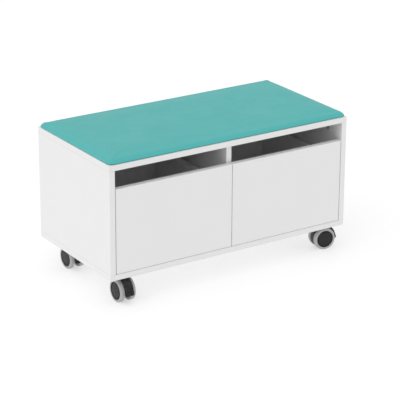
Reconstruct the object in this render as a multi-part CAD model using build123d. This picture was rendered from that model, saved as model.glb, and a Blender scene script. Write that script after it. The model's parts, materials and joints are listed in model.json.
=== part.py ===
"""Low mobile cabinet on four castors: a white panel carcass with two full-extension
drawers side by side, an open hand slot above each drawer front, and a padded seat on top.

Frame: millimetres, +Z up, +X to the right seen from the front, +Y to the back.
The origin is on the floor, under the middle of the carcass.
"""

import os
from math import atan2, cos, degrees, hypot, radians, sin

from build123d import *

# ---------------------------------------------------------------- driving dimensions
WIDTH = 900.0
DEPTH = 450.0
SIDE_HEIGHT = 341.0
BOARD = 19.0  # carcass boards and drawer fronts
BOARD_EDGE_R = 0.8  # eased edges of every board
CASTOR_HEIGHT = 92.0  # floor to the underside of the bottom board

HAND_SLOT = 60.0  # open height above each drawer front
FRONT_GAP = 2.0  # beside and between the drawer fronts
FRONT_FOOT_GAP = 1.0  # under them
DIVIDER_SETBACK = 2.0  # behind the drawer fronts

PAD_INSET = 1.5  # seat pad, in from the top board's edges
PAD_THICK = 21.0
PAD_CORNER_R = 15.0
PAD_EDGE_R = 13.0
SEAT_BOARD = 8.0
SEAT_BOARD_INSET = 10.0  # in from the pad's outline
PAD_CLEARANCE = 0.2  # between the pad and the board it is stretched over

DRAWER_BOARD = 16.0
DRAWER_LENGTH = 400.0
DRAWER_SIDE_HEIGHT = 210.0
DRAWER_LIFT = 16.0  # bottom board of the carcass to the drawer's side
DRAWER_FLOOR = 10.0
DRAWER_FLOOR_LIFT = 10.0  # underside of a drawer side to its floor
GROOVE = 6.0
GROOVE_CLEARANCE = 0.1

RUNNER_LENGTH = 400.0
RUNNER_SPACE = 12.7  # drawer side to carcass wall
RUNNER_STEEL = 1.2
RUNNER_CENTRE_LIFT = 104.0  # bottom board of the carcass to the runner's middle
RUNNER_BACK_SET = 2.0  # behind the back of the drawer front

CASTOR_INSET_X = 66.5  # swivel axis, in from the sides
CASTOR_INSET_Y = 65.0  # and from the front and back
TRAIL = 24.5  # swivel axis to wheel axle
WHEEL_R = 37.5
HUB_R = 29.4
WHEEL_OUTER_FACE = 27.6  # from the middle of the castor
WHEEL_INNER_FACE = 11.4
HOUSING_HALF = 10.4
AXLE_R = 4.0
PLATE_SIDE = 62.0
PLATE_THICK = 3.0
PLATE_HOLE_PITCH = 46.0
PLATE_CORNER_R = 6.0
KINGPIN_R = 5.5
KINGPIN_FOOT = 52.0  # height of its lower end
RUNNING_FIT = 0.06  # radial, pins in their bores

PEDAL_INNER_R = 40.2  # round the axle, clear of the tyres
PEDAL_OUTER_R = 43.6
PEDAL_CORNER_R = 4.0
PEDAL_HALF = 15.0
PEDAL_PIVOT = (6.0, 10.0)  # from the axle: along the trail, up
PEDAL_PIVOT_R = 2.5
PEDAL_ARM_HALF = 6.0

SCREW_R = 2.0
SCREW_CLEARANCE = 0.1

# ---------------------------------------------------------------- derived levels
Z_BOTTOM = CASTOR_HEIGHT
Z_FLOOR = Z_BOTTOM + BOARD
Z_CEILING = Z_FLOOR + SIDE_HEIGHT
Z_TOP = Z_CEILING + BOARD
X_WALL = WIDTH / 2 - BOARD  # inner face of a side board
Y_FRONT = -DEPTH / 2
Y_FRONT_BACK = Y_FRONT + BOARD  # back face of the drawer fronts
Y_BACK_WALL = DEPTH / 2 - BOARD  # inner face of the back board
Y_DIVIDER = Y_FRONT_BACK + DIVIDER_SETBACK
COMPARTMENT = X_WALL - BOARD / 2
DRAWER_OUTER = COMPARTMENT - 2 * RUNNER_SPACE
Z_DRAWER = Z_FLOOR + DRAWER_LIFT
Z_RUNNER = Z_FLOOR + RUNNER_CENTRE_LIFT

DRAWERS = {"left": -1, "right": 1}
CASTORS = {
    "front_left": (-1, -1, -91.0),  # side of X, side of Y, direction of the trail
    "front_right": (1, -1, -10.0),
    "back_left": (-1, 1, -90.0),
    "back_right": (1, 1, -50.0),
}

parts = {}


# ---------------------------------------------------------------- small helpers
def block(x0, x1, y0, y1, z0, z1):
    """A plain box between two opposite corners."""
    middle = ((x0 + x1) / 2, (y0 + y1) / 2, (z0 + z1) / 2)
    return Pos(*middle) * Box(abs(x1 - x0), abs(y1 - y0), abs(z1 - z0))


def board(x0, x1, y0, y1, z0, z1):
    """A board whose twelve edges are eased."""
    plain = block(x0, x1, y0, y1, z0, z1)
    return fillet(plain.edges(), BOARD_EDGE_R)


def rod(start, end, radius):
    """A round bar from one point to another."""
    a, b = Vector(*start), Vector(*end)
    plane = Plane(origin=a, z_dir=(b - a).normalized())
    return extrude(plane * Circle(radius), (b - a).length)


def cone(start, end, r_start, r_end):
    """A round taper from one point to another."""
    a, b = Vector(*start), Vector(*end)
    plane = Plane(origin=(a + b) / 2, z_dir=(b - a).normalized())
    return plane * Cone(r_start, r_end, (b - a).length)


def offset(point, direction, distance):
    """The point moved along a direction."""
    return tuple(p + d * distance for p, d in zip(point, direction))


def write(name, *shapes):
    """Keeps one node: its solids, which stay separate."""
    solids = [s for shape in shapes for s in shape.solids()]
    parts[name] = solids[0] if len(solids) == 1 else Compound(children=solids)


# ---------------------------------------------------------------- cam fittings
CAM_R = 7.4
CAM_TO_EDGE = 34.0  # cam centre to the end of its board
CAM_BOLT_R = 3.4
CAM_NECK_R = 1.9
CAM_THREAD = 11.0  # length in the other board
CAM_THREAD_R = 2.5
CAM_SLOT_R = 3.7
CAM_CROSS = 6.0
CAM_CROSS_WIDTH = 1.4


class CamFitting:
    """A cam in the face of one board that pulls a bolt standing in another board.

    face: the cam's middle on the face of its board.  inward: into that board.
    along: from the cam to the end of the board.  thick: the board's thickness.
    """

    def __init__(self, face, inward, along, thick):
        depth = thick * 0.7
        middle = offset(face, inward, thick / 2)
        end = offset(middle, along, CAM_TO_EDGE)
        tip = offset(end, along, CAM_THREAD)
        rim = offset(middle, along, CAM_R + 0.4)
        self.pocket = rod(face, offset(face, inward, depth + 0.2), CAM_R + 0.1)
        self.bore = rod(middle, end, CAM_BOLT_R + 0.15)
        self.thread_hole = rod(end, offset(tip, along, 0.5), CAM_THREAD_R + 0.1)
        cam = rod(face, offset(face, inward, depth), CAM_R)
        cam -= rod(offset(middle, along, -3.5), offset(middle, along, CAM_R + 1), CAM_SLOT_R)
        sideways = tuple(
            inward[i - 2] * along[i - 1] - inward[i - 1] * along[i - 2] for i in range(3)
        )
        for way in (along, sideways):
            ends = [offset(face, way, s * CAM_CROSS / 2) for s in (-1, 1)]
            cam -= rod(ends[0], ends[1], CAM_CROSS_WIDTH)
        self.cam = cam
        head = rod(offset(middle, along, -2.5), offset(middle, along, 1.5), 3.0)
        neck = rod(offset(middle, along, 1.5), rim, CAM_NECK_R)
        shank = rod(rim, end, CAM_BOLT_R)
        thread = rod(end, tip, CAM_THREAD_R)
        self.bolt = head + neck + shank + thread


def carcass_fittings():
    """The cam fittings of the upright boards, by the board that holds the cam."""
    up, down = (0, 0, 1), (0, 0, -1)
    levels = ((Z_CEILING - CAM_TO_EDGE, up), (Z_FLOOR + CAM_TO_EDGE, down))
    found = {"left_side": [], "right_side": [], "divider": [], "back": []}
    for z, along in levels:
        for y in (-150.0, 130.0):
            found["left_side"].append(CamFitting((-X_WALL, y, z), (-1, 0, 0), along, BOARD))
            found["right_side"].append(CamFitting((X_WALL, y, z), (1, 0, 0), along, BOARD))
            found["divider"].append(CamFitting((BOARD / 2, y, z), (-1, 0, 0), along, BOARD))
        for x in (-300.0, 300.0):
            found["back"].append(CamFitting((x, Y_BACK_WALL, z), (0, 1, 0), along, BOARD))
    return found


# ---------------------------------------------------------------- castors
CASTOR_PLATE_Z = CASTOR_HEIGHT - PLATE_THICK
AXLE_Z = WHEEL_R
HOUSING_R = 36.8
HOUSING_TOP = 86.0
BOSS_R = 11.5
BOSS_HEIGHT = 8.0
FLANGE_R = 9.0
FLANGE_LIFT = 0.6  # housing top to the kingpin's flange
AXLE_HALF = 23.0
CORE_R = 13.0  # housing round the axle
HOUSING_EDGE_R = 0.9


def castor_place(name, turned_too=True):
    """The castor's own frame: the swivel axis on the floor, X along the trail."""
    side_x, side_y, turn = CASTORS[name]
    turn = turn if turned_too else 0.0
    x = side_x * (WIDTH / 2 - CASTOR_INSET_X)
    y = side_y * (DEPTH / 2 - CASTOR_INSET_Y)
    return Pos(x, y, 0) * Rot(0, 0, turn)


def square_points(half):
    """The four corners of a square about the origin."""
    return [(sx * half, sy * half) for sx in (-1, 1) for sy in (-1, 1)]


def castor_plate():
    """Square steel top plate with four screw holes."""
    z = CASTOR_PLATE_Z
    sheet = extrude(Pos(0, 0, z) * RectangleRounded(PLATE_SIDE, PLATE_SIDE, PLATE_CORNER_R), PLATE_THICK)
    for x, y in square_points(PLATE_HOLE_PITCH / 2):
        sheet -= rod((x, y, z - 1), (x, y, z + PLATE_THICK + 1), SCREW_R + 0.4)
    return sheet


def castor_kingpin():
    """Swivel pin with the thrust flange that it hangs the housing on."""
    shoulder = HOUSING_TOP + FLANGE_LIFT
    flange = rod((0, 0, shoulder), (0, 0, CASTOR_PLATE_Z), FLANGE_R)
    pin = rod((0, 0, KINGPIN_FOOT), (0, 0, shoulder), KINGPIN_R)
    pin = chamfer(pin.edges().sort_by(Axis.Z)[0], 1.0)
    return flange + pin


PLATE_SCREW = 13.0  # length in the board
PLATE_SCREW_POINT = 3.0
PLATE_SCREW_HEAD = (4.4, 2.6)  # radius, height


def castor_plate_screw(x, y):
    """Pan-head wood screw through a castor plate, up into the bottom board."""
    z = CASTOR_PLATE_Z
    head_r, head_height = PLATE_SCREW_HEAD
    tip = CASTOR_HEIGHT + PLATE_SCREW
    taper = tip - PLATE_SCREW_POINT
    head = rod((x, y, z - head_height), (x, y, z), head_r)
    head = fillet(head.edges().sort_by(Axis.Z)[0], 0.6 * head_height)
    return head + rod((x, y, z), (x, y, taper), SCREW_R) + cone((x, y, taper), (x, y, tip), SCREW_R, 0.4)


def on_axle(radius, angle):
    """A point round the axle, in the castor's XZ plane; angle 0 is along the trail."""
    return TRAIL + radius * cos(radians(angle)), AXLE_Z + radius * sin(radians(angle))


def upright(sketch, half):
    """Extrudes a sketch drawn in X and Z to both sides of the castor's middle plane."""
    return extrude(Plane.XZ * sketch, half, both=True)


def castor_housing():
    """Moulded body between the wheels: hood, kingpin boss and cheeks for the pedal."""
    hood = Pos(TRAIL, AXLE_Z) * Circle(HOUSING_R)
    shoulder = Polygon(
        (-BOSS_R, HOUSING_TOP),
        (BOSS_R, HOUSING_TOP),
        on_axle(HOUSING_R - 3.0, 70),
        (TRAIL, AXLE_Z),
        on_axle(HOUSING_R - 3.0, 160),
        align=None,
    )
    far = 3 * WHEEL_R
    mouth = Polygon(
        (TRAIL, AXLE_Z),
        on_axle(far, 38),
        on_axle(far, -20),
        on_axle(far, -90),
        on_axle(far, -140),
        align=None,
    )
    core = Pos(TRAIL, AXLE_Z) * Circle(CORE_R)
    body = upright((hood + shoulder - mouth) + core, HOUSING_HALF)
    rims = body.edges().filter_by(lambda e: abs(abs(e.center().Y) - HOUSING_HALF) < 0.01)
    body = fillet(rims, HOUSING_EDGE_R)
    boss_foot = HOUSING_TOP - BOSS_HEIGHT
    boss = rod((0, 0, boss_foot), (0, 0, HOUSING_TOP), BOSS_R)
    ears = block(-30, 30, -HOUSING_HALF - 1, HOUSING_HALF + 1, boss_foot, HOUSING_TOP + 1)
    body = body - ears + boss
    x, z = TRAIL + PEDAL_PIVOT[0], AXLE_Z + PEDAL_PIVOT[1]
    pocket = Polygon((x - 5.4, z + 3.1), on_axle(60, 100), on_axle(60, 5), (x + 5.4, z - 3.1), align=None)
    body -= upright(pocket + Pos(x, z) * Circle(6.2), PEDAL_ARM_HALF + 0.4)
    body -= rod((0, 0, KINGPIN_FOOT - 2), (0, 0, HOUSING_TOP + 1), KINGPIN_R + RUNNING_FIT)
    body -= rod((TRAIL, -20, AXLE_Z), (TRAIL, 20, AXLE_Z), AXLE_R + RUNNING_FIT)
    body -= rod((x, -20, z), (x, 20, z), PEDAL_PIVOT_R + RUNNING_FIT)
    return body


def castor_axle():
    """Steel axle, its ends inside the blind hub bores."""
    bar = rod((TRAIL, -AXLE_HALF, AXLE_Z), (TRAIL, AXLE_HALF, AXLE_Z), AXLE_R)
    return chamfer(bar.edges().filter_by(GeomType.CIRCLE), 0.6)


def turned(points, side):
    """Revolves a profile of (radius, distance from the middle) about the axle."""
    outline = Polygon(*[(r, side * w) for r, w in points], align=None)
    ring = revolve(outline, Axis.Y, 360)
    return Pos(TRAIL, 0, AXLE_Z) * ring


HUB_DISC = 5.2  # outer face to the inner side of the disc
HUB_GROOVE = (24.4, 28.2, 3.0)  # inner radius, outer radius, depth
HUB_BOSS_R = 9.5
HUB_RIM = 3.0
HUB_SHY = 0.2  # hub rim inside the tyre's inner face
HUB_BOSS_REACH = 0.4  # hub boss past the tyre's inner face


def castor_hub(side):
    """Wheel centre: a slightly domed disc with a ring groove, a rim and a blind axle bore."""
    face, inner = WHEEL_OUTER_FACE, WHEEL_INNER_FACE
    bore = AXLE_R + RUNNING_FIT
    groove_from, groove_to, depth = HUB_GROOVE
    return turned(
        [
            (0, face),
            (groove_from / 2, face - 0.15),
            (groove_from - 1.0, face - 0.6),
            (groove_from, face - 1.2),
            (groove_from + 0.4, face - depth),
            (groove_to - 0.3, face - depth),
            (groove_to, face - 0.9),
            (HUB_R - 0.5, face - 0.7),
            (HUB_R, face - 1.2),
            (HUB_R, inner + HUB_SHY),
            (HUB_R - HUB_RIM, inner + HUB_SHY),
            (HUB_R - HUB_RIM - 1.0, face - HUB_DISC),
            (HUB_BOSS_R + 1.0, face - HUB_DISC),
            (HUB_BOSS_R, inner - HUB_BOSS_REACH),
            (bore, inner - HUB_BOSS_REACH),
            (bore, AXLE_HALF + 0.6),
            (0, AXLE_HALF + 0.6),
        ],
        side,
    )


TYRE_FIT = 0.02
TYRE_SHY = 0.6  # tyre's side behind the hub's face
TYRE_SHOULDER_R = 3.6


def castor_tyre(side):
    """Soft tyre round the hub, with round shoulders."""
    inner, outer = HUB_R + TYRE_FIT, WHEEL_R
    low, high = WHEEL_INNER_FACE, WHEEL_OUTER_FACE - TYRE_SHY
    outline = Pos((inner + outer) / 2, side * (low + high) / 2) * Rectangle(outer - inner, high - low)
    tread = outline.vertices().sort_by(Axis.X)[2:]
    outline = fillet(tread, TYRE_SHOULDER_R)
    return Pos(TRAIL, 0, AXLE_Z) * revolve(outline, Axis.Y, 360)


PEDAL_TOP = 72.0  # angles round the axle, from the trail
PEDAL_BEND = 18.0  # below this the plate runs straight
PEDAL_FOOT = 21.0  # length of the straight part
PEDAL_ARM_AT = 62.0
PEDAL_ARM_DEPTH = 9.0
PEDAL_EYE_R = 5.0
TRUNNION_SHY = 0.2  # trunnion ends inside the housing's sides


def castor_pedal():
    """Brake pedal: a foot plate round the tyres and straight below, on an arm with two trunnions."""
    ring = Pos(TRAIL, AXLE_Z) * (Circle(PEDAL_OUTER_R) - Circle(PEDAL_INNER_R))
    far = 2 * PEDAL_OUTER_R
    middle = (PEDAL_TOP + PEDAL_BEND) / 2
    sector = Polygon(
        (TRAIL, AXLE_Z), on_axle(far, PEDAL_BEND), on_axle(far, middle), on_axle(far, PEDAL_TOP), align=None
    )
    down = (sin(radians(PEDAL_BEND)), -cos(radians(PEDAL_BEND)))
    bend = [on_axle(radius, PEDAL_BEND) for radius in (PEDAL_INNER_R, PEDAL_OUTER_R)]
    tip = [offset(point, down, PEDAL_FOOT) for point in bend]
    foot = Polygon(bend[0], tip[0], tip[1], bend[1], align=None)
    plate = upright((ring & sector) + foot, PEDAL_HALF)
    at_sides = plate.edges().filter_by(GeomType.LINE).filter_by(
        lambda e: abs(abs(e.center().Y) - PEDAL_HALF) < 0.01
    )
    plate = fillet(at_sides.sort_by(Axis.Z)[:2], PEDAL_CORNER_R)
    pivot = (TRAIL + PEDAL_PIVOT[0], AXLE_Z + PEDAL_PIVOT[1])
    reach = on_axle((PEDAL_INNER_R + PEDAL_OUTER_R) / 2, PEDAL_ARM_AT)
    lean = degrees(atan2(reach[1] - pivot[1], reach[0] - pivot[0]))
    length = hypot(reach[0] - pivot[0], reach[1] - pivot[1])
    bar = Pos(*pivot) * Rot(0, 0, lean) * Pos(length / 2, 0) * Rectangle(length, PEDAL_ARM_DEPTH)
    arm = upright(bar + Pos(*pivot) * Circle(PEDAL_EYE_R), PEDAL_ARM_HALF)
    half = HOUSING_HALF - TRUNNION_SHY
    trunnions = rod((pivot[0], -half, pivot[1]), (pivot[0], half, pivot[1]), PEDAL_PIVOT_R)
    return plate + arm + trunnions


def make_castors():
    """All castor nodes; the plates, kingpins and screws belong to the carcass."""
    plates, kingpins, screws = [], [], []
    for name in CASTORS:
        fixed = castor_place(name, turned_too=False)
        plates.append(fixed * castor_plate())
        kingpins.append(fixed * castor_kingpin())
        for x, y in square_points(PLATE_HOLE_PITCH / 2):
            screws.append(fixed * castor_plate_screw(x, y))
        place = castor_place(name)
        write(f"{name}_castor_housing", place * castor_housing())
        write(f"{name}_castor_axle", place * castor_axle())
        write(f"{name}_castor_brake_pedal", place * castor_pedal())
        for wheel, side in (("left", -1), ("right", 1)):
            write(f"{name}_castor_{wheel}_hub", place * castor_hub(side))
            write(f"{name}_castor_{wheel}_tyre", place * castor_tyre(side))
    write("castor_plates", *plates)
    write("castor_kingpins", *kingpins)
    write("castor_plate_screws", *screws)


def castor_screw_holes():
    """Pilot holes for the plate screws in the bottom board."""
    holes = []
    for name in CASTORS:
        fixed = castor_place(name, turned_too=False)
        for x, y in square_points(PLATE_HOLE_PITCH / 2):
            deep = Z_BOTTOM + PLATE_SCREW + 0.5
            holes.append(fixed * rod((x, y, Z_BOTTOM - 1), (x, y, deep), SCREW_R + SCREW_CLEARANCE))
    return holes


# ---------------------------------------------------------------- seat
SEAT_SCREW_X = (-380.0, 0.0, 380.0)
SEAT_SCREW_Y = (-160.0, 160.0)
SEAT_SCREW_TIP = 5.5  # length in the seat board


def seat_screw_places():
    """Where the screws rise through the top board; the middle pair misses the divider."""
    return [(x if x else 40.0, y) for x in SEAT_SCREW_X for y in SEAT_SCREW_Y]


def seat_screw(x, y, extra=0.0):
    """Countersunk screw from under the top board into the seat board."""
    radius = SCREW_R + extra
    head = cone((x, y, Z_CEILING), (x, y, Z_CEILING + 2.4), 4.0 + extra, radius)
    return head + rod((x, y, Z_CEILING + 2.4), (x, y, Z_TOP + SEAT_SCREW_TIP + 3 * extra), radius)


def pad_outline(inset):
    """The seat pad's plan, taken in by the inset."""
    grow = 2 * (PAD_INSET + inset)
    radius = max(PAD_CORNER_R - inset, 3.0)
    return RectangleRounded(WIDTH - grow, DEPTH - grow, radius)


def make_seat():
    """Seat board and the foam pad stretched over it."""
    seat_board = extrude(Pos(0, 0, Z_TOP) * pad_outline(SEAT_BOARD_INSET), SEAT_BOARD)
    pocket = extrude(
        Pos(0, 0, Z_TOP - 1) * pad_outline(SEAT_BOARD_INSET - PAD_CLEARANCE), SEAT_BOARD + 1 + PAD_CLEARANCE
    )
    pad = extrude(Pos(0, 0, Z_TOP) * pad_outline(0), PAD_THICK)
    rim = pad.faces().sort_by(Axis.Z)[-1].edges()
    pad = fillet(rim, PAD_EDGE_R) - pocket
    for x, y in seat_screw_places():
        seat_board -= rod((x, y, Z_TOP - 1), (x, y, Z_TOP + SEAT_SCREW_TIP + 0.5), SCREW_R + SCREW_CLEARANCE)
    write("seat_board", seat_board)
    write("seat_pad", pad)
    write("seat_screws", *[seat_screw(x, y) for x, y in seat_screw_places()])


# ---------------------------------------------------------------- carcass
def make_carcass():
    """Six boards, and the cam fittings that hold the upright ones."""
    half_w, half_d = WIDTH / 2, DEPTH / 2
    top = board(-half_w, half_w, -half_d, half_d, Z_CEILING, Z_TOP)
    bottom = board(-half_w, half_w, -half_d, half_d, Z_BOTTOM, Z_FLOOR)
    left = board(-half_w, -X_WALL, -half_d, half_d, Z_FLOOR, Z_CEILING)
    right = board(X_WALL, half_w, -half_d, half_d, Z_FLOOR, Z_CEILING)
    divider = board(-BOARD / 2, BOARD / 2, Y_DIVIDER, Y_BACK_WALL, Z_FLOOR, Z_CEILING)
    back = board(-X_WALL, X_WALL, Y_BACK_WALL, half_d, Z_FLOOR, Z_CEILING)
    uprights = {"left_side": left, "right_side": right, "divider": divider, "back": back}
    fittings_made = []
    for key, fittings in carcass_fittings().items():
        for f in fittings:
            uprights[key] = uprights[key] - f.pocket - f.bore
            top -= f.thread_hole
            bottom -= f.thread_hole
            fittings_made += [f.cam, f.bolt]
    for side in DRAWERS.values():
        for wall, way in runner_walls(side):
            for hole in runner_screws(wall + way * RUNNER_STEEL, -way, CHANNEL_SCREW, SCREW_CLEARANCE):
                for key in ("left_side", "right_side", "divider"):
                    uprights[key] -= hole
    for hole in castor_screw_holes():
        bottom -= hole
    for x, y in seat_screw_places():
        top -= seat_screw(x, y, SCREW_CLEARANCE)
    write("top_panel", top)
    write("bottom_panel", bottom)
    write("left_side_panel", uprights["left_side"])
    write("right_side_panel", uprights["right_side"])
    write("centre_divider", uprights["divider"])
    write("back_panel", uprights["back"])
    write("carcass_cam_fittings", *fittings_made)


# ---------------------------------------------------------------- runners
# Each member is a channel: (web from, web to, flange reach, outer half height),
# all measured from the carcass wall except the height.
CHANNEL = (0.0, RUNNER_STEEL, 10.6, 22.8)
SLIDE = (2.4, 2.4 + RUNNER_STEEL, 10.6, 18.2)
RAIL = (RUNNER_SPACE - RUNNER_STEEL, RUNNER_SPACE, 4.6, 13.6)
RUNNER_HOLE_R = 2.3
RUNNER_HOLES = (24.0, 152.0, 344.0)  # from the runner's front end


def runner_member(kind, wall, way):
    """A rolled channel beside the wall at X = wall; way is +1 where it stands out to +X."""
    near, far, reach, half = kind
    y0 = Y_FRONT_BACK + RUNNER_BACK_SET
    y1 = y0 + RUNNER_LENGTH
    z0, z1 = Z_RUNNER - half, Z_RUNNER + half

    def strip(u0, u1, low, high):
        return block(wall + way * u0, wall + way * u1, y0, y1, low, high)

    flange_from, flange_to = (near, reach) if reach > near else (reach, far)
    member = strip(near, far, z0, z1)
    member += strip(flange_from, flange_to, z0, z0 + RUNNER_STEEL)
    member += strip(flange_from, flange_to, z1 - RUNNER_STEEL, z1)
    corners = member.edges().filter_by(Axis.Y).filter_by(
        lambda e: abs(abs(e.center().Z - Z_RUNNER) - half) < 0.01
    )
    member = fillet(corners, 0.5)
    for y in RUNNER_HOLES:
        start = (wall + way * (near - 1), y0 + y, Z_RUNNER)
        member -= rod(start, (wall + way * (far + 1), y0 + y, Z_RUNNER), RUNNER_HOLE_R)
    return member


RUNNER_SCREW_HEAD = (3.6, 0.9)  # radius, height
CHANNEL_SCREW = 8.5  # length in the carcass wall
RAIL_SCREW = 12.0  # length in the drawer side


def runner_walls(side):
    """The two carcass walls of a compartment, each with the way its runner stands out."""
    low, high = sorted((side * BOARD / 2, side * X_WALL))
    return ((low, 1), (high, -1))


def runner_screws(x, way, length, extra=0.0):
    """Screws through a runner whose inner side is at X = x, pointing along way."""
    found = []
    for y in RUNNER_HOLES:
        place = (x, Y_FRONT_BACK + RUNNER_BACK_SET + y, Z_RUNNER)
        shank = rod(place, offset(place, (way, 0, 0), length + RUNNER_STEEL + 3 * extra), SCREW_R + extra)
        found.append(shank + rod(offset(place, (-way, 0, 0), RUNNER_SCREW_HEAD[1]), place, RUNNER_SCREW_HEAD[0]))
    return found


def make_runners():
    """Three members on both sides of each drawer."""
    screws = []
    for name, side in DRAWERS.items():
        pair = runner_walls(side)
        for wall, way in pair:
            screws += runner_screws(wall + way * RUNNER_STEEL, -way, CHANNEL_SCREW)
        write(f"{name}_drawer_runner_channels", *[runner_member(CHANNEL, *w) for w in pair])
        write(f"{name}_drawer_runner_slides", *[runner_member(SLIDE, *w) for w in pair])
        write(f"{name}_drawer_runner_rails", *[runner_member(RAIL, *w) for w in pair])
    write("runner_channel_screws", *screws)


# ---------------------------------------------------------------- drawers
BACK_SCREW = 34.0  # length
BACK_SCREW_LEVELS = (40.0, 170.0)  # above the underside of a drawer side
CAM_LEVELS = (34.0, 176.0)


def back_screw(x, way, z, extra=0.0):
    """Countersunk screw through a drawer side into the end of the drawer back."""
    y = Y_FRONT_BACK + DRAWER_LENGTH - DRAWER_BOARD / 2
    radius = SCREW_R + extra
    head = cone((x, y, z), (x + way * 2.4, y, z), 4.0 + extra, radius)
    return head + rod((x + way * 2.4, y, z), (x + way * (BACK_SCREW + 2 * extra), y, z), radius)


def make_drawer(name, side):
    """One drawer: a front on two sides, a back, and a floor in grooves."""
    inner_edge, outer_edge = FRONT_GAP / 2, X_WALL - FRONT_GAP
    x0, x1 = sorted((side * inner_edge, side * outer_edge))
    front = board(x0, x1, Y_FRONT, Y_FRONT_BACK, Z_FLOOR + FRONT_FOOT_GAP, Z_CEILING - HAND_SLOT)

    middle = side * (BOARD / 2 + COMPARTMENT / 2)
    left, right = middle - DRAWER_OUTER / 2, middle + DRAWER_OUTER / 2
    y0, y1 = Y_FRONT_BACK, Y_FRONT_BACK + DRAWER_LENGTH
    z0, z1 = Z_DRAWER, Z_DRAWER + DRAWER_SIDE_HEIGHT
    walls = {
        "left_side": board(left, left + DRAWER_BOARD, y0, y1, z0, z1),
        "right_side": board(right - DRAWER_BOARD, right, y0, y1, z0, z1),
    }
    back = board(left + DRAWER_BOARD, right - DRAWER_BOARD, y1 - DRAWER_BOARD, y1, z0, z1)

    floor_z = z0 + DRAWER_FLOOR_LIFT
    reach = GROOVE - GROOVE_CLEARANCE
    floor = block(
        left + DRAWER_BOARD - reach,
        right - DRAWER_BOARD + reach,
        y0 - reach,
        y1 - DRAWER_BOARD + reach,
        floor_z,
        floor_z + DRAWER_FLOOR,
    )
    groove = block(
        left + DRAWER_BOARD - GROOVE,
        right - DRAWER_BOARD + GROOVE,
        y0 - GROOVE,
        y1 - DRAWER_BOARD + GROOVE,
        floor_z - GROOVE_CLEARANCE,
        floor_z + DRAWER_FLOOR + GROOVE_CLEARANCE,
    )
    fixings = []
    for key, x, way in (("left_side", left, 1), ("right_side", right, -1)):
        for level in CAM_LEVELS:
            f = CamFitting((x, y0 + CAM_TO_EDGE, z0 + level), (way, 0, 0), (0, -1, 0), DRAWER_BOARD)
            walls[key] = walls[key] - f.pocket - f.bore
            front -= f.thread_hole
            fixings += [f.cam, f.bolt]
        rail_face = x + way * -RUNNER_STEEL
        for hole in runner_screws(rail_face, way, RAIL_SCREW, SCREW_CLEARANCE):
            walls[key] -= hole
        fixings += runner_screws(rail_face, way, RAIL_SCREW)
        for level in BACK_SCREW_LEVELS:
            hole = back_screw(x, way, z0 + level, SCREW_CLEARANCE)
            walls[key] -= hole
            back -= hole
            fixings.append(back_screw(x, way, z0 + level))
    write(f"{name}_drawer_front", front - groove)
    write(f"{name}_drawer_left_side", walls["left_side"] - groove)
    write(f"{name}_drawer_right_side", walls["right_side"] - groove)
    write(f"{name}_drawer_back", back - groove)
    write(f"{name}_drawer_floor", floor)
    write(f"{name}_drawer_fixings", *fixings)


# ---------------------------------------------------------------- build and export
def main():
    os.makedirs("parts", exist_ok=True)
    make_carcass()
    make_seat()
    make_runners()
    for name, side in DRAWERS.items():
        make_drawer(name, side)
    make_castors()
    for name, shape in parts.items():
        export_step(shape, f"parts/{name}.step")
    print(len(parts), "nodes")


main()
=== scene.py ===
"""Looks of the low mobile cabinet: white board carcass with two drawers, teal padded seat, four castors.

Metres, +Z up, +X to the right seen from the front, +Y to the back, the origin on the floor.
"""

import json
import math

import bpy
import numpy as np
from mathutils import Matrix, Vector


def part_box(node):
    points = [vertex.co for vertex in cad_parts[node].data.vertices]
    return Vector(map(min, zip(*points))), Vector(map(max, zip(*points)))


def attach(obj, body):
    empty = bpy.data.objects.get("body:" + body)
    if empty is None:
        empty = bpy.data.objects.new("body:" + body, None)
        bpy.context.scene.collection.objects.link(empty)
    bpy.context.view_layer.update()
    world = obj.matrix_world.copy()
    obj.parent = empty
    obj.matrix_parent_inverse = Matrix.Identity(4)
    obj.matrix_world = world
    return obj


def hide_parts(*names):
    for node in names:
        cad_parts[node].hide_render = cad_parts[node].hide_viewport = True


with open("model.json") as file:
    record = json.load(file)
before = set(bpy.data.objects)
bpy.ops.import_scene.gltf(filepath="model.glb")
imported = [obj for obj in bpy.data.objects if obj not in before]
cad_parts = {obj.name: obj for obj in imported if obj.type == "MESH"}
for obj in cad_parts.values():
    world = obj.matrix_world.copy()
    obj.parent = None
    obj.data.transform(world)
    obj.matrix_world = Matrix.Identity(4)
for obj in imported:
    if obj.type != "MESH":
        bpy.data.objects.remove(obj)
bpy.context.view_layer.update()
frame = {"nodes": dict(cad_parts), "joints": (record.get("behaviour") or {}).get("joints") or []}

MM = 0.001
JOINTS = {joint["name"]: joint for joint in frame["joints"]}
CASTORS = ("front_left", "front_right", "back_left", "back_right")
DRAWERS = ("left", "right")
CARCASS_BOARDS = (
    "top_panel", "bottom_panel", "left_side_panel", "right_side_panel", "back_panel", "centre_divider",
)
DRAWER_BOARDS = ("front", "left_side", "right_side", "back", "floor")

# ---------------------------------------------------------------- colours (linear) and finishes
BOARD_WHITE = (0.812, 0.812, 0.811)
BOARD_SHADE = (0.75, 0.75, 0.749)
GLUE_LINE = (0.50, 0.49, 0.46)
SEAT_TEAL = (0.066, 0.465, 0.448)
# deeper teal, for the random mottle and for the painted shade in the vinyl's creases
SEAT_TEAL_DEEP = (0.055, 0.409, 0.395)
PLASTIC_DARK = (0.009, 0.0092, 0.0096)
PLASTIC_WORN = (0.013, 0.0132, 0.0138)
PEDAL_DARK = (0.004, 0.0041, 0.0043)
TYRE_GREY = (0.38, 0.38, 0.385)
TYRE_DUSTY = (0.50, 0.49, 0.48)
STEEL_BRIGHT = (0.62, 0.63, 0.64)
STEEL_DULL = (0.46, 0.47, 0.48)
PLY_LIGHT = (0.56, 0.42, 0.27)
PLY_DARK = (0.40, 0.27, 0.16)
DUST = (0.50, 0.49, 0.47)
BUMPER_CLEAR = (0.80, 0.82, 0.83)


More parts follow.
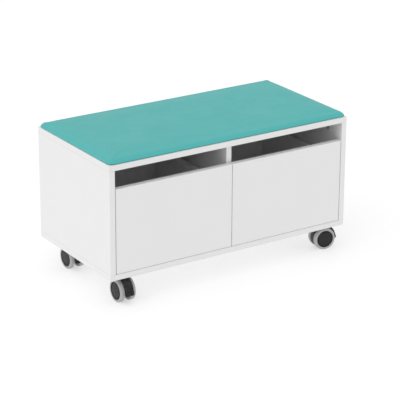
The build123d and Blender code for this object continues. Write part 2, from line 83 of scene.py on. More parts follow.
# ---------------------------------------------------------------- shader building
def add(tree, kind, inputs=None, **settings):
    """Adds a node, sets its properties, and sets or links its inputs by name."""
    node = tree.nodes.new(kind)
    for key, value in settings.items():
        setattr(node, key, value)
    for key, value in (inputs or {}).items():
        if isinstance(value, bpy.types.NodeSocket):
            tree.links.new(value, node.inputs[key])
        else:
            node.inputs[key].default_value = value
    return node


def maths(tree, operation, a, b=0.0):
    """One Math node's result."""
    return add(tree, "ShaderNodeMath", {0: a, 1: b}, operation=operation).outputs[0]


def mixed(tree, factor, a, b):
    """Colour a turned into colour b by the factor."""
    found = []
    for colour in (a, b):
        found.append((*colour, 1.0) if isinstance(colour, tuple) else colour)
    node = add(tree, "ShaderNodeMix", {"Factor": factor, 6: found[0], 7: found[1]}, data_type="RGBA")
    return node.outputs[2]


def spread(tree, value, low, high, to_low=0.0, to_high=1.0):
    """The value moved from one range to another, smoothly and within its ends."""
    node = add(
        tree, "ShaderNodeMapRange",
        {"Value": value, "From Min": low, "From Max": high, "To Min": to_low, "To Max": to_high},
        interpolation_type="SMOOTHSTEP",
    )
    return node.outputs["Result"]


def object_place(tree):
    """Object coordinates, in metres."""
    return tree.nodes.new("ShaderNodeTexCoord").outputs["Object"]


def new_group(name, inputs, outputs):
    """An empty node group; inputs are (name, kind, default), outputs (name, kind)."""
    group = bpy.data.node_groups.new(name, "ShaderNodeTree")
    for label, kind, default in inputs:
        socket = group.interface.new_socket(label, in_out="INPUT", socket_type=kind)
        socket.default_value = default
    for label, kind in outputs:
        group.interface.new_socket(label, in_out="OUTPUT", socket_type=kind)
    return group, group.nodes.new("NodeGroupInput").outputs, group.nodes.new("NodeGroupOutput").inputs


def place_group(tree, group, **inputs):
    """Puts a node group into a material; underscores in the names stand for spaces."""
    node = tree.nodes.new("ShaderNodeGroup")
    node.node_tree = group
    for key, value in inputs.items():
        socket = node.inputs[key.replace("_", " ")]
        if isinstance(value, bpy.types.NodeSocket):
            tree.links.new(value, socket)
        else:
            socket.default_value = value
    return node.outputs


def make_fine_grain():
    """Two sizes of soft noise added together, as a height for a Bump node."""
    group, into, out = new_group(
        "fine_grain",
        [("Grain Size", "NodeSocketFloat", 0.001), ("Coarse Share", "NodeSocketFloat", 0.3)],
        [("Height", "NodeSocketFloat")],
    )
    place = object_place(group)
    scale = maths(group, "DIVIDE", 1.0, into["Grain Size"])
    fine = add(group, "ShaderNodeTexNoise", {"Vector": place, "Scale": scale, "Detail": 2.0})
    wide_scale = maths(group, "MULTIPLY", scale, 0.17)
    wide = add(group, "ShaderNodeTexNoise", {"Vector": place, "Scale": wide_scale, "Detail": 2.0})
    share = maths(group, "MULTIPLY", wide.outputs["Fac"], into["Coarse Share"])
    group.links.new(maths(group, "ADD", fine.outputs["Fac"], share), out["Height"])
    return group


def make_mottle():
    """Broad, faint clouds: a mask from 0 to 1 for colour and roughness that are never quite even."""
    group, into, out = new_group(
        "mottle",
        [("Patch Size", "NodeSocketFloat", 0.1), ("Contrast", "NodeSocketFloat", 1.0)],
        [("Mask", "NodeSocketFloat")],
    )
    scale = maths(group, "DIVIDE", 1.0, into["Patch Size"])
    cloud = add(
        group, "ShaderNodeTexNoise",
        {"Vector": object_place(group), "Scale": scale, "Detail": 4.0, "Roughness": 0.6},
    )
    swing = maths(group, "SUBTRACT", cloud.outputs["Fac"], 0.5)
    wide = maths(group, "MULTIPLY", swing, maths(group, "MULTIPLY", into["Contrast"], 2.4))
    level = add(group, "ShaderNodeMath", {0: wide, 1: 0.5}, operation="ADD", use_clamp=True)
    group.links.new(level.outputs[0], out["Mask"])
    return group


def make_box_edges():
    """How far a point on a box is from the box's nearest edge, in metres.

    The distances in from the three pairs of faces are sorted: the smallest is 0 on the
    surface, and the middle one is the distance to the nearest edge.
    """
    group, into, out = new_group(
        "box_edges",
        [("Centre", "NodeSocketVector", (0, 0, 0)), ("Half Size", "NodeSocketVector", (1, 1, 1))],
        [("Distance", "NodeSocketFloat")],
    )

    def vector(operation, *values):
        inputs = dict(enumerate(values))
        return add(group, "ShaderNodeVectorMath", inputs, operation=operation).outputs["Vector"]

    from_centre = vector("SUBTRACT", object_place(group), into["Centre"])
    inward = vector("SUBTRACT", into["Half Size"], vector("ABSOLUTE", from_centre))
    part = add(group, "ShaderNodeSeparateXYZ", {0: inward}).outputs
    low = maths(group, "MINIMUM", part["X"], part["Y"])
    high = maths(group, "MAXIMUM", part["X"], part["Y"])
    middle = maths(group, "MAXIMUM", low, maths(group, "MINIMUM", high, part["Z"]))
    group.links.new(middle, out["Distance"])
    return group


def make_settled_dust():
    """A mask of dust: on faces that look up, in soft patches."""
    group, into, out = new_group(
        "settled_dust",
        [("Amount", "NodeSocketFloat", 0.3), ("Patch Size", "NodeSocketFloat", 0.02)],
        [("Mask", "NodeSocketFloat")],
    )
    normal = group.nodes.new("ShaderNodeNewGeometry").outputs["Normal"]
    upward = add(group, "ShaderNodeSeparateXYZ", {0: normal}).outputs["Z"]
    scale = maths(group, "DIVIDE", 1.0, into["Patch Size"])
    cloud = add(group, "ShaderNodeTexNoise", {"Vector": object_place(group), "Scale": scale, "Detail": 5.0})
    patches = spread(group, cloud.outputs["Fac"], 0.35, 0.7)
    facing = spread(group, upward, -0.1, 0.95)
    mask = maths(group, "MULTIPLY", maths(group, "MULTIPLY", facing, patches), into["Amount"])
    group.links.new(mask, out["Mask"])
    return group


FOLD_WAVES = 13.5  # waves per turn: three of them between the sides
FOLD_SHARPNESS = 5.0
FOLD_REACH = (0.52, 0.66)  # radians from the corner's middle, over which the folds fade out


def make_corner_folds():
    """Folds where a cover is gathered round an upright corner, strongest at its foot.

    With a the angle from the corner's middle, in plan, the depth is
    max(0, cos(FOLD_WAVES a))^FOLD_SHARPNESS, faded out sideways and upwards.
    """
    group, into, out = new_group(
        "corner_folds",
        [
            ("Corner", "NodeSocketVector", (0.4, 0.2, 0)),
            ("Base Height", "NodeSocketFloat", 0.0),
            ("Fold Height", "NodeSocketFloat", 0.015),
        ],
        [("Depth", "NodeSocketFloat")],
    )
    place = object_place(group)
    plan = add(group, "ShaderNodeVectorMath", {0: place}, operation="ABSOLUTE").outputs["Vector"]
    out_of = add(group, "ShaderNodeVectorMath", {0: plan, 1: into["Corner"]}, operation="SUBTRACT")
    part = add(group, "ShaderNodeSeparateXYZ", {0: out_of.outputs["Vector"]}).outputs
    angle = maths(group, "ARCTAN2", part["Y"], part["X"])
    from_middle = maths(group, "SUBTRACT", angle, math.pi / 4)
    wave = maths(group, "COSINE", maths(group, "MULTIPLY", from_middle, FOLD_WAVES))
    narrow = maths(group, "POWER", maths(group, "MAXIMUM", wave, 0.0), FOLD_SHARPNESS)
    near = spread(group, maths(group, "ABSOLUTE", from_middle), *FOLD_REACH, 1.0, 0.0)
    height = add(group, "ShaderNodeSeparateXYZ", {0: place}).outputs["Z"]
    lift = maths(group, "SUBTRACT", height, into["Base Height"])
    fade = spread(group, lift, 0.0, into["Fold Height"], 1.0, 0.0)
    depth = maths(group, "MULTIPLY", maths(group, "MULTIPLY", narrow, near), fade)
    group.links.new(depth, out["Depth"])
    return group


FINE_GRAIN = make_fine_grain()
CORNER_FOLDS = make_corner_folds()
MOTTLE = make_mottle()
BOX_EDGES = make_box_edges()
SETTLED_DUST = make_settled_dust()


def new_material(name, **values):
    """A material with one Principled shader and its plain values set."""
    material = bpy.data.materials.new(name)
    material.use_nodes = True
    tree = material.node_tree
    shader = tree.nodes["Principled BSDF"]
    for key, value in values.items():
        shader.inputs[key.replace("_", " ")].default_value = value
    return material, tree, shader


def feed(tree, shader, **links):
    """Links sockets into the shader's inputs."""
    for key, socket in links.items():
        tree.links.new(socket, shader.inputs[key.replace("_", " ")])


def bump(tree, height, depth):
    """A normal from a height, raised by at most depth metres."""
    node = add(tree, "ShaderNodeBump", {"Height": height, "Strength": 1.0, "Distance": depth})
    return node.outputs["Normal"]


# ---------------------------------------------------------------- materials
EDGE_BAND = 1.0 * MM  # thickness of the strip glued along each board's edge
HANDLED_WIDTH = 14.0 * MM  # how far in from an edge hands leave their mark
VINYL_CELLS = 620.0  # pebbles per metre
VINYL_DRIFT = 1.6 * MM  # how far noise moves the pebbles' outlines
FOLD_CENTRE_INSET = 18.0 * MM  # of the corner that the folds go round, from the pad's sides
FOLD_HEIGHT = 15.0 * MM
PLY_PITCH = 2.6 * MM


def white_board(node, rubbed=0.0):
    """Melamine-faced board: faint pearl grain, glue line of the edge band, softly handled edges."""
    low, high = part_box(node)
    material, tree, shader = new_material(f"white_board_{node}", IOR=1.5)
    edge = place_group(
        tree, BOX_EDGES, Centre=(low + high) / 2, Half_Size=(high - low) / 2
    )["Distance"]
    cloud = place_group(tree, MOTTLE, Patch_Size=0.16, Contrast=0.9)["Mask"]
    smears = place_group(tree, MOTTLE, Patch_Size=0.035, Contrast=1.2)["Mask"]
    colour = mixed(tree, maths(tree, "MULTIPLY", cloud, 0.16), BOARD_WHITE, BOARD_SHADE)
    off_line = maths(tree, "ABSOLUTE", maths(tree, "SUBTRACT", edge, EDGE_BAND))
    line = spread(tree, off_line, 0.05 * MM, 0.22 * MM, 0.55, 0.0)
    colour = mixed(tree, line, colour, GLUE_LINE)
    handled = spread(tree, edge, 0.0, HANDLED_WIDTH, 0.10 + rubbed, 0.0)
    handled = maths(tree, "MULTIPLY", handled, smears)
    colour = mixed(tree, handled, colour, BOARD_SHADE)
    roughness = spread(tree, smears, 0.0, 1.0, 0.34, 0.46)
    grain = place_group(tree, FINE_GRAIN, Grain_Size=0.9 * MM, Coarse_Share=0.5)["Height"]
    feed(tree, shader, Base_Color=colour, Roughness=roughness, Normal=bump(tree, grain, 0.02 * MM))
    return material


def seat_vinyl():
    """Upholstery vinyl: pebbled grain with fine creases between the pebbles that carry painted shade,
    gathered at the corners.
    """
    material, tree, shader = new_material(
        "seat_vinyl", IOR=1.52, Sheen_Weight=0.06, Sheen_Roughness=0.5
    )
    place = object_place(tree)
    drift = add(tree, "ShaderNodeTexNoise", {"Vector": place, "Scale": 260.0, "Detail": 2.0})
    moved = add(
        tree, "ShaderNodeVectorMath",
        {0: drift.outputs["Color"], 1: (VINYL_DRIFT,) * 3}, operation="MULTIPLY",
    )
    bent = add(tree, "ShaderNodeVectorMath", {0: place, 1: moved.outputs[0]}, operation="ADD")
    cells = add(
        tree, "ShaderNodeTexVoronoi", {"Vector": bent.outputs[0], "Scale": VINYL_CELLS},
        feature="DISTANCE_TO_EDGE",
    )
    crease = spread(tree, cells.outputs["Distance"], 0.0, 0.16)
    cloud = place_group(tree, MOTTLE, Patch_Size=0.09, Contrast=1.0)["Mask"]
    colour = mixed(tree, maths(tree, "MULTIPLY", cloud, 0.35), SEAT_TEAL, SEAT_TEAL_DEEP)
    # painted shade: the creases between the pebbles are darkened towards the deeper teal
    crease_shade = spread(tree, crease, 0.0, 1.0, 0.45, 0.0)
    colour = mixed(tree, crease_shade, colour, SEAT_TEAL_DEEP)
    roughness = spread(tree, cloud, 0.0, 1.0, 0.45, 0.55)
    low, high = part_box("seat_pad")
    half = (high - low) / 2
    folds = place_group(
        tree, CORNER_FOLDS, Corner=(half.x - FOLD_CENTRE_INSET, half.y - FOLD_CENTRE_INSET, 0.0),
        Base_Height=low.z, Fold_Height=FOLD_HEIGHT,
    )["Depth"]
    pebbles = bump(tree, crease, 0.05 * MM)
    gathered = add(
        tree, "ShaderNodeBump",
        {"Height": folds, "Strength": 1.0, "Distance": 1.1 * MM, "Normal": pebbles}, invert=True,
    ).outputs["Normal"]
    feed(tree, shader, Base_Color=colour, Roughness=roughness, Normal=gathered)
    return material


def moulded_plastic(name, dark, worn, roughness, dust=0.25):
    """Spark-textured moulded plastic, greyer where it is scuffed and dusty on top."""
    material, tree, shader = new_material(name, IOR=1.41)
    scuffs = place_group(tree, MOTTLE, Patch_Size=0.012, Contrast=1.3)["Mask"]
    colour = mixed(tree, maths(tree, "MULTIPLY", scuffs, 0.5), dark, worn)
    settled = place_group(tree, SETTLED_DUST, Amount=dust, Patch_Size=0.014)["Mask"]
    colour = mixed(tree, settled, colour, DUST)
    rough = spread(tree, scuffs, 0.0, 1.0, roughness - 0.05, roughness + 0.08)
    grain = place_group(tree, FINE_GRAIN, Grain_Size=0.45 * MM, Coarse_Share=0.3)["Height"]
    feed(tree, shader, Base_Color=colour, Roughness=rough, Normal=bump(tree, grain, 0.04 * MM))
    return material


def tyre_rubber():
    """Light grey soft tyre, dustier in patches."""
    material, tree, shader = new_material("tyre_rubber", IOR=1.5)
    patches = place_group(tree, MOTTLE, Patch_Size=0.018, Contrast=1.4)["Mask"]
    colour = mixed(tree, maths(tree, "MULTIPLY", patches, 0.5), TYRE_GREY, TYRE_DUSTY)
    rough = spread(tree, patches, 0.0, 1.0, 0.55, 0.75)
    grain = place_group(tree, FINE_GRAIN, Grain_Size=0.7 * MM, Coarse_Share=0.6)["Height"]
    feed(tree, shader, Base_Color=colour, Roughness=rough, Normal=bump(tree, grain, 0.04 * MM))
    return material


def plated_steel(name, roughness, stretch):
    """Zinc-plated steel with drawn streaks along the axis where stretch is small."""
    material, tree, shader = new_material(name, Metallic=1.0)
    drawn = add(tree, "ShaderNodeMapping", {"Vector": object_place(tree), "Scale": stretch})
    streaks = add(
        tree, "ShaderNodeTexNoise",
        {"Vector": drawn.outputs["Vector"], "Scale": 900.0, "Detail": 3.0},
    ).outputs["Fac"]
    cloud = place_group(tree, MOTTLE, Patch_Size=0.02, Contrast=1.2)["Mask"]
    colour = mixed(tree, cloud, STEEL_BRIGHT, STEEL_DULL)
    rough = spread(tree, streaks, 0.3, 0.7, roughness - 0.06, roughness + 0.1)
    feed(tree, shader, Base_Color=colour, Roughness=rough, Normal=bump(tree, streaks, 0.01 * MM))
    return material


def plywood():
    """Plain plywood: long wavy grain on the faces and thin plies on the edges."""
    material, tree, shader = new_material("plywood", IOR=1.5)
    place = object_place(tree)
    drawn = add(tree, "ShaderNodeMapping", {"Vector": place, "Scale": (0.12, 1.0, 0.2)})
    grain = add(
        tree, "ShaderNodeTexNoise",
        {"Vector": drawn.outputs["Vector"], "Scale": 160.0, "Detail": 6.0, "Distortion": 0.6},
    ).outputs["Fac"]
    height = add(tree, "ShaderNodeSeparateXYZ", {0: place}).outputs["Z"]
    plies = maths(tree, "SINE", maths(tree, "MULTIPLY", height, 2 * math.pi / PLY_PITCH))
    tone = maths(tree, "ADD", grain, maths(tree, "MULTIPLY", plies, 0.12))
    colour = mixed(tree, spread(tree, tone, 0.3, 0.75), PLY_LIGHT, PLY_DARK)
    rough = spread(tree, grain, 0.3, 0.7, 0.6, 0.75)
    feed(tree, shader, Base_Color=colour, Roughness=rough, Normal=bump(tree, grain, 0.08 * MM))
    return material


def soft_bumper():
    """Clear silicone that lets some light in."""
    material, tree, shader = new_material("soft_bumper", IOR=1.41, Transmission_Weight=0.35)
    patches = place_group(tree, MOTTLE, Patch_Size=0.003, Contrast=1.0)["Mask"]
    colour = mixed(tree, maths(tree, "MULTIPLY", patches, 0.3), BUMPER_CLEAR, BOARD_SHADE)
    feed(tree, shader, Base_Color=colour, Roughness=spread(tree, patches, 0.0, 1.0, 0.25, 0.4))
    return material


VINYL = seat_vinyl()
SILICONE = soft_bumper()
CASTOR_PLASTIC = moulded_plastic("castor_plastic", PLASTIC_DARK, PLASTIC_WORN, 0.45)
PEDAL_PLASTIC = moulded_plastic("pedal_plastic", PEDAL_DARK, PLASTIC_DARK, 0.42, dust=0.05)
TYRE = tyre_rubber()
RUNNER_STEEL = plated_steel("runner_steel", 0.32, (1.0, 0.02, 1.0))
FIXING_STEEL = plated_steel("fixing_steel", 0.38, (1.0, 1.0, 1.0))
AXLE_STEEL = plated_steel("axle_steel", 0.25, (1.0, 1.0, 1.0))
PLYWOOD = plywood()


def paint(piece, material):
    """Gives the piece this one material."""
    piece.data.materials.clear()
    piece.data.materials.append(material)


def paint_cad_nodes():
    """Every CAD node gets its finish."""
    boards = list(CARCASS_BOARDS)
    boards += [f"{side}_drawer_{board}" for side in DRAWERS for board in DRAWER_BOARDS]
    for name, node in frame["nodes"].items():
        if name in boards:
            paint(node, white_board(name, rubbed=0.15 if name.endswith("front") else 0.0))
        elif name.endswith(("_hub", "_housing")):
            paint(node, CASTOR_PLASTIC)
        elif name.endswith("_tyre"):
            paint(node, TYRE)
        elif name.endswith("_pedal"):
            paint(node, PEDAL_PLASTIC)
        elif name.endswith(("_channels", "_slides", "_rails", "castor_plates")):
            paint(node, RUNNER_STEEL)
        elif name.endswith(("_axle", "kingpins")):
            paint(node, AXLE_STEEL)
        elif name == "seat_board":
            paint(node, PLYWOOD)
        elif name == "seat_pad":
            paint(node, VINYL)
        else:
            paint(node, FIXING_STEEL)


# ---------------------------------------------------------------- mesh building
def make_piece(name, points, faces, material, body, slot, smooth=True):
    """A mesh object at the origin from arrays of points and faces, riding on its body."""
    mesh = bpy.data.meshes.new(name)
    mesh.from_pydata(np.asarray(points, float).tolist(), [], [list(face) for face in faces])
    mesh.polygons.foreach_set("use_smooth", np.full(len(mesh.polygons), smooth))
    mesh.update()
    piece = bpy.data.objects.new(name, mesh)
    bpy.context.scene.collection.objects.link(piece)
    mesh.materials.append(material)
    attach(piece, body)
    return piece


def grid_faces(rows, columns, wrap_rows=False, wrap_columns=False):
    """Quads over a grid of points held row by row, joined round where it wraps."""
    i = np.arange(rows if wrap_rows else rows - 1)[:, None]
    j = np.arange(columns if wrap_columns else columns - 1)[None, :]
    i2, j2 = (i + 1) % rows, (j + 1) % columns
    corners = [i * columns + j, i2 * columns + j, i2 * columns + j2, i * columns + j2]
    return np.stack([np.broadcast_to(c, (len(i), j.shape[1])) for c in corners], -1).reshape(-1, 4)


def joined(shapes):
    """Several shapes, each (points, faces), as one."""
    points, faces, start = [], [], 0
    for shape_points, shape_faces in shapes:
        points.append(shape_points)
        faces += [tuple(int(corner) + start for corner in face) for face in shape_faces]
        start += len(shape_points)
    return np.vstack(points), faces


def lathe(centre, axis, profile, count):
    """A closed shape of revolution from a profile of (radius, distance along the axis).

    A point is centre + distance axis + radius (cos t first + sin t second), with t once
    round.  The profile runs down the outside.  It closes on itself, or on the axis where
    its first radius is 0.
    """
    axis = np.asarray(axis, float) / np.linalg.norm(axis)
    other = np.array([0.0, 0.0, 1.0]) if abs(axis[2]) < 0.9 else np.array([1.0, 0.0, 0.0])
    first = np.cross(other, axis) / np.linalg.norm(np.cross(other, axis))
    turn = np.linspace(0, 2 * np.pi, count + 1)[:-1]
    ring = np.cos(turn)[:, None] * first + np.sin(turn)[:, None] * np.cross(axis, first)
    profile = np.asarray(profile, float)
    to_axis = profile[0, 0] == 0
    walls = profile[1:-1] if to_axis else profile
    points = np.asarray(centre) + walls[:, 1, None, None] * axis + walls[:, 0, None, None] * ring
    points = points.reshape(-1, 3)
    faces = grid_faces(len(walls), count, wrap_rows=not to_axis, wrap_columns=True).tolist()
    if to_axis:
        last = len(points)
        poles = [np.asarray(centre) + profile[k, 1] * axis for k in (0, -1)]
        points = np.vstack([points, poles])
        for j in range(count):
            after = (j + 1) % count
            faces.append((last, j, after))
            faces.append((last - count + j, last + 1, last - count + after))
    return points, faces


def closed_sheet(outer, inner):
    """A closed solid between two grids of points that have the same rows and columns."""
    rows, columns = outer.shape[:2]
    count = rows * columns
    points = np.vstack([outer.reshape(-1, 3), inner.reshape(-1, 3)])
    top = grid_faces(rows, columns)
    index = np.arange(count).reshape(rows, columns)
    rim = np.concatenate([index[0, :], index[1:, -1], index[-1, -2::-1], index[-2:0:-1, 0]])
    after = np.roll(rim, -1)
    side = np.stack([rim, after, after + count, rim + count], -1)
    return points, np.vstack([top, top[:, ::-1] + count, side]).tolist()


def box_shape(low, high):
    """A plain box as (points, faces)."""
    points = [(x, y, z) for x in (low[0], high[0]) for y in (low[1], high[1]) for z in (low[2], high[2])]
    faces = [(0, 1, 3, 2), (4, 6, 7, 5), (0, 4, 5, 1), (2, 3, 7, 6), (0, 2, 6, 4), (1, 5, 7, 3)]
    return np.array(points), faces


# ---------------------------------------------------------------- castor details
PEDAL_R = 43.6 * MM  # outside of the foot plate, round the axle
PEDAL_BEND = math.radians(18.0)  # up from the trail; the plate is straight below this
PEDAL_TOP = math.radians(68.0)
PEDAL_FOOT = 20.2 * MM  # length of tread on the straight part
PEDAL_HALF = 14.2 * MM
GRIP_SUNK = 0.6 * MM
GRIP_SKIN = 1.1 * MM
GRIP_RIB = 0.9 * MM
GRIP_RIBS = 8
GRIP_ROWS = 113
GRIP_COLUMNS = 25
GRIP_LIP = 1.5 * MM  # extra thickness at the foot, for the toe
GRIP_PLAIN_END = 0.88  # from the middle of the tread; it has no ribs beyond this
GRIP_TAPER = 0.30  # how much narrower the plate is at its ends
SEAL_LIFT = 0.1  # share of the gap between the housing and its plate, under the seal
SEAL_PROFILE = ((11.2, 2.6), (14.6, 2.2), (15.4, 1.2), (15.4, 0.5), (14.9, 0.1), (11.2, 0.1))  # mm


def castor_axes(castor):
    """The axle's middle, and the directions along the trail and to the side."""
    axle = Vector(JOINTS[f"{castor}_left_wheel_spin"]["pos_m"])
    side = Vector(JOINTS[f"{castor}_left_wheel_spin"]["axis"]).normalized()
    return np.array(axle), np.array(side.cross(Vector((0, 0, 1)))), np.array(side)


def pedal_grip(castor):
    """Ribbed tread on the brake pedal, thicker towards the foot.

    Along the plate, s runs from 0 at the foot to 1 at the top, over a straight part and
    then an arc about the axle.  The tread stands out from it by
    skin + rib max(0, cos(2 pi n s))^0.6 + lip (1 - s)^3, times a round shoulder
    (1 - |w|^16), where w runs from -1 to 1 across the plate.
    """
    axle, trail, side = castor_axes(castor)
    up = np.array([0.0, 0.0, 1.0])
    s = np.linspace(0, 1, GRIP_ROWS)[:, None]
    w = np.linspace(1, -1, GRIP_COLUMNS)[None, :]
    along = s * (PEDAL_FOOT + PEDAL_R * (PEDAL_TOP - PEDAL_BEND)) - PEDAL_FOOT
    angle = PEDAL_BEND + np.maximum(0, along) / PEDAL_R
    out = np.cos(angle)[..., None] * trail + np.sin(angle)[..., None] * up
    rise = math.cos(PEDAL_BEND) * up - math.sin(PEDAL_BEND) * trail
    from_end = np.abs(2 * s - 1)
    width = PEDAL_HALF * (1 - GRIP_TAPER * from_end ** 10) * w
    plate = axle + PEDAL_R * out + np.minimum(0, along)[..., None] * rise + width[..., None] * side
    ribs = np.maximum(0, np.cos(2 * np.pi * GRIP_RIBS * (s - 0.5 / GRIP_RIBS))) ** 0.6
    ribs = ribs * (from_end < GRIP_PLAIN_END) * (1 - np.abs(w) ** 12)
    height = GRIP_SKIN + GRIP_RIB * ribs + GRIP_LIP * (1 - s) ** 3
    height = height * (1 - np.abs(w) ** 16) * (1 - from_end ** 24)
    return closed_sheet(plate + height[..., None] * out, plate - GRIP_SUNK * out)


def make_castor_details():
    """Ribbed pedal treads, and the seal round each swivel bearing under its plate."""
    for castor in CASTORS:
        points, faces = pedal_grip(castor)
        make_piece(f"{castor}_pedal_grip", points, faces, PEDAL_PLASTIC, f"{castor}_brake", "castor_pedal")
        swivel = JOINTS[f"{castor}_castor_swivel"]["pos_m"]
        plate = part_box("castor_plates")[0].z
        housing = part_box(f"{castor}_castor_housing")[1].z
        profile = [(radius * MM, height * MM) for radius, height in SEAL_PROFILE]
        foot = housing + (plate - housing) * SEAL_LIFT
        ring = lathe((swivel[0], swivel[1], foot), (0, 0, 1), profile, count=72)
        make_piece(f"{castor}_bearing_seal", *ring, CASTOR_PLASTIC, "carcass", "castor_body")


# ---------------------------------------------------------------- runner balls, and bumpers
BALL_R = 1.6 * MM
BALL_PITCH = 9.0 * MM
BALL_ROWS = (  # how far out from the wall, how far from the runner's middle, share of its length
    (7.0 * MM, 19.9 * MM, 0.53, 0.98),
    (7.8 * MM, 15.3 * MM, 0.02, 0.47),
)
BALL_MARGINS = (0.5, 0.3)  # before the first ball and after the last, in pitches
CAGE_HALF = 2.6 * MM
CAGE_THICK = 0.35 * MM


def make_runner_balls():
    """Rows of balls in their cages between a runner's three members; they ride on the middle one.

    The rows keep to the half of the middle member that overlaps its neighbour when open.
    """
    half_circle = np.linspace(0, np.pi, 7)
    profile = np.column_stack([np.sin(half_circle), np.cos(half_circle)]) * BALL_R
    profile[[0, -1], 0] = 0.0
    for drawer in DRAWERS:
        low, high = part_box(f"{drawer}_drawer_runner_channels")
        middle, length = (low.z + high.z) / 2, high.y - low.y
        balls, cages = [], []
        for wall, way in ((low.x, 1), (high.x, -1)):
            for out, lift, start, end in BALL_ROWS:
                for up in (-1, 1):
                    x, z = wall + way * out, middle + up * lift
                    y0, y1 = low.y + start * length, low.y + end * length
                    first, last = y0 + BALL_MARGINS[0] * BALL_PITCH, y1 - BALL_MARGINS[1] * BALL_PITCH
                    for y in np.arange(first, last, BALL_PITCH):
                        balls.append(lathe((x, y, z), (0, 0, 1), profile, count=12))
                    near, far = (x - CAGE_HALF, y0, z - CAGE_THICK), (x + CAGE_HALF, y1, z + CAGE_THICK)
                    cages.append(box_shape(near, far))
        body = f"{drawer}_runner_slides"
        make_piece(f"{drawer}_runner_balls", *joined(balls), AXLE_STEEL, body, "runner_steel")
        make_piece(f"{drawer}_runner_cages", *joined(cages), RUNNER_STEEL, body, "runner_steel", smooth=False)


BUMPER_R = 3.2 * MM
BUMPER_HEIGHT = 1.6 * MM
BUMPER_SUNK = 0.3 * MM
BUMPER_SIDE = 5.3 * MM  # from the divider's middle
BUMPER_LEVELS = (0.045, 0.235)  # above the divider's foot


def make_bumpers():
    """Small silicone domes on the divider's front edge, which the drawer fronts close against."""
    low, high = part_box("centre_divider")
    dome = np.linspace(0, np.pi / 2, 6)
    profile = [(BUMPER_R * math.sin(a), BUMPER_HEIGHT * math.cos(a)) for a in dome]
    profile[0] = (0.0, BUMPER_HEIGHT)
    profile += [(BUMPER_R, -BUMPER_SUNK), (0.0, -BUMPER_SUNK)]
    shapes = []
    for level in BUMPER_LEVELS:
        for x in (-BUMPER_SIDE, BUMPER_SIDE):
            shapes.append(lathe((x, low.y, low.z + level), (0, -1, 0), profile, count=24))
    make_piece("drawer_bumpers", *joined(shapes), SILICONE, "carcass", "castor_tyre")


# ---------------------------------------------------------------- seat cushion
PAD_EDGE_WIDTH = 16.0 * MM  # how far in the rounded edge reaches
PAD_TUCK = 1.0 * MM  # the cover turns under with this radius
PAD_START_DROP = 3.6 * MM  # left for the foam to swell into
PAD_CAP = 4.2 * MM  # the furthest that a point may swell
PAD_CORNER_R = 17.0 * MM  # in plan, at the widest ring
PAD_CORNER_LEAST = 6.0 * MM
PAD_OUTLINE_POINTS = 260
PAD_VOXEL = 6.0 * MM
PAD_HELD = 2.5 * MM  # the cover below this height is fixed to its board
PAD_LEAST_LIFT = 0.05 * MM  # keeps the foot off the top board
PAD_MOST_CROWN = 0.3 * MM  # above the pad's height
SWELL_PRESSURE = 4.0
SWELL_STEPS = 20


def rounded_rectangle(half_x, half_y, radius, count):
    """Points evenly spaced round a rectangle with round corners, anticlockwise.

    A dense outline is the corner centre plus radius times (cos, sin) of an angle that
    runs once round; it is then resampled by length.
    """
    turn = np.linspace(0, 2 * np.pi, 4 * 64 + 1)[:-1] + np.pi / 256
    way = np.stack([np.cos(turn), np.sin(turn)], -1)
    corner = np.sign(way) * (np.array([half_x, half_y]) - radius)
    line = corner + radius * way
    line = np.vstack([line, line[:1]])
    along = np.concatenate([[0], np.cumsum(np.linalg.norm(np.diff(line, axis=0), axis=1))])
    at = np.linspace(0, along[-1], count + 1)[:-1]
    return np.stack([np.interp(at, along, line[:, k]) for k in (0, 1)], -1)


def cushion_start(low, high):
    """The closed shape that swells: a quarter-ellipse edge over a small tuck, with flat caps.

    Each ring is the pad's outline taken in by d at the height z.
    """
    base, top = low.z, high.z - PAD_START_DROP
    quarter = np.linspace(0, np.pi / 2, 9)
    under = (-math.pi / 2, -math.pi / 4)
    tuck = [(PAD_TUCK * (1 - math.cos(a)), base + PAD_TUCK * (1 + math.sin(a))) for a in under]
    rise = top - base - PAD_TUCK
    edge = [(PAD_EDGE_WIDTH * (1 - math.cos(a)), base + PAD_TUCK + rise * math.sin(a)) for a in quarter]
    half_x, half_y = (high.x - low.x) / 2, (high.y - low.y) / 2
    rings = []
    for inset, z in tuck + edge:
        radius = max(PAD_CORNER_R - inset * 0.6, PAD_CORNER_LEAST)
        outline = rounded_rectangle(half_x - inset, half_y - inset, radius, PAD_OUTLINE_POINTS)
        rings.append(np.column_stack([outline, np.full(len(outline), z)]))
    count = len(rings[0])
    faces = [tuple(face) for face in grid_faces(len(rings), count, wrap_columns=True)[:, ::-1]]
    faces.append(tuple(range(count))[::-1])
    faces.append(tuple(range((len(rings) - 1) * count, len(rings) * count)))
    return np.vstack(rings), faces


def read_points(mesh):
    """The mesh's vertices as an array."""
    points = np.zeros(len(mesh.vertices) * 3)
    mesh.vertices.foreach_get("co", points)
    return points.reshape(-1, 3)


def write_points(mesh, points):
    """Puts an array back as the mesh's vertices."""
    mesh.vertices.foreach_set("co", np.asarray(points, float).ravel())
    mesh.update()


def apply_modifiers(piece):
    """Bakes the modifiers into the piece's own mesh."""
    graph = bpy.context.evaluated_depsgraph_get()
    finished = bpy.data.meshes.new_from_object(piece.evaluated_get(graph))
    piece.modifiers.clear()
    piece.data = finished


